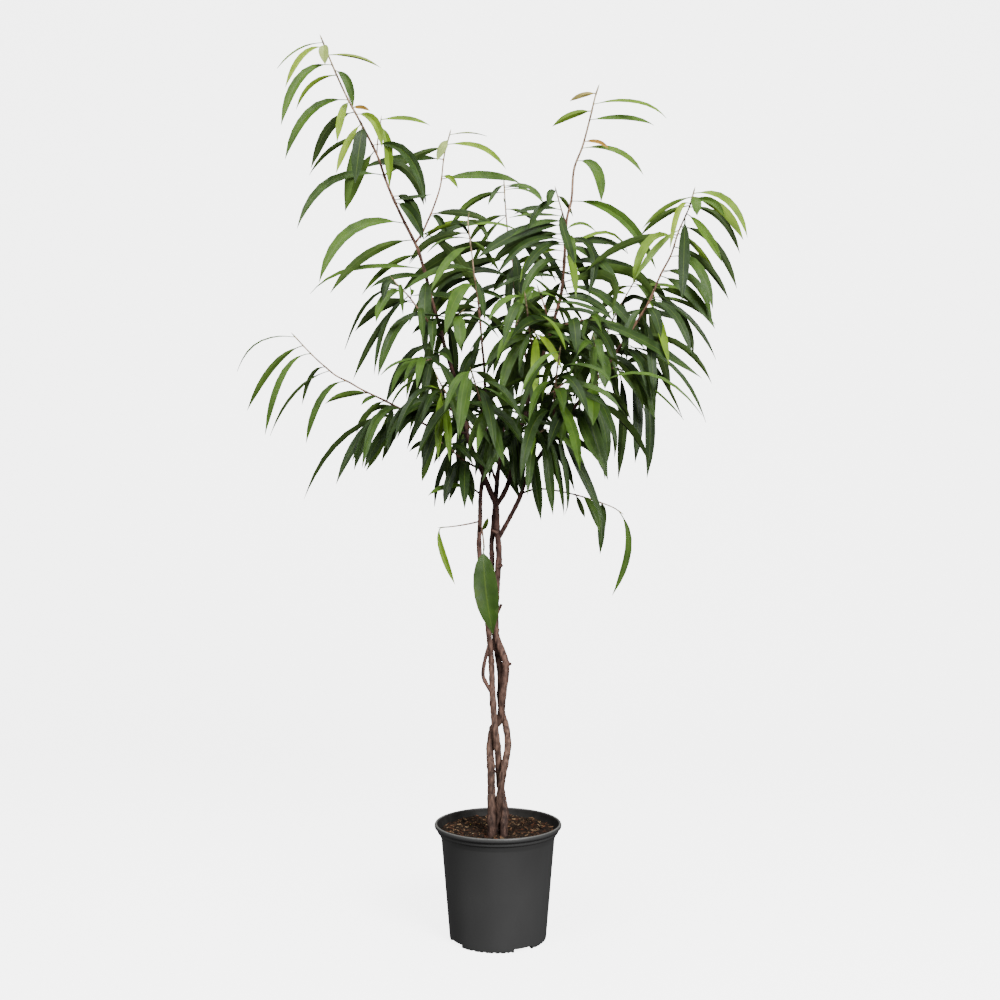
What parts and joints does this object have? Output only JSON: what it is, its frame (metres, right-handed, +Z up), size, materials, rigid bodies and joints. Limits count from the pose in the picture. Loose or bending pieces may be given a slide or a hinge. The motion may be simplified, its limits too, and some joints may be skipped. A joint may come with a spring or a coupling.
{
  "type": "potted banana leaf fig",
  "caption": "Tall potted fig with a braided trunk, open leaning branches and long drooping leaves, growing in a round tapered nursery pot that stands on the floor.",
  "frame": {"origin": "centre of the pot's underside, on the floor", "axes": "+X to the right as the plant is looked at, +Y away from the onlooker, +Z up along the trunk"},
  "size_m": [0.9981, 0.6251, 1.7711],
  "materials": {
    "pot_plastic": "satin moulded plastic, dark grey",
    "potting_mix": "damp potting mix with bark chips, rough",
    "bark": "smooth grey-brown bark, dull",
    "leaf_green": "leathery green leaf, soft sheen"
  },
  "bodies": {
    "root": {"pot": "pot_plastic", "soil": "potting_mix", "stem_a": "bark", "stem_b": "bark", "stem_c": "bark", "spray_leader_left": "leaf_green", "spray_leader_thin": "leaf_green", "spray_leader_tall": "leaf_green", "spray_leader_right": "leaf_green", "spray_leader_back": "leaf_green", "spray_far_left": "leaf_green", "spray_left_mid": "leaf_green", "spray_left_low": "leaf_green", "spray_left_inner": "leaf_green", "spray_left_down": "leaf_green", "spray_low_left": "leaf_green", "spray_low_front": "leaf_green", "spray_fork_left": "leaf_green", "spray_diagonal": "leaf_green", "spray_centre_low": "leaf_green", "spray_centre_left": "leaf_green", "spray_right_low": "leaf_green", "spray_right_hang": "leaf_green", "spray_right_thin": "leaf_green", "spray_centre_up": "leaf_green", "spray_centre_right": "leaf_green", "spray_behind": "leaf_green", "spray_back_left": "leaf_green", "spray_back_right": "leaf_green", "spray_left_front": "leaf_green", "spray_right_front": "leaf_green", "spray_centre_top": "leaf_green", "spray_front_left": "leaf_green", "spray_front_high": "leaf_green", "spray_front_right": "leaf_green"}
  },
  "joints": []
}
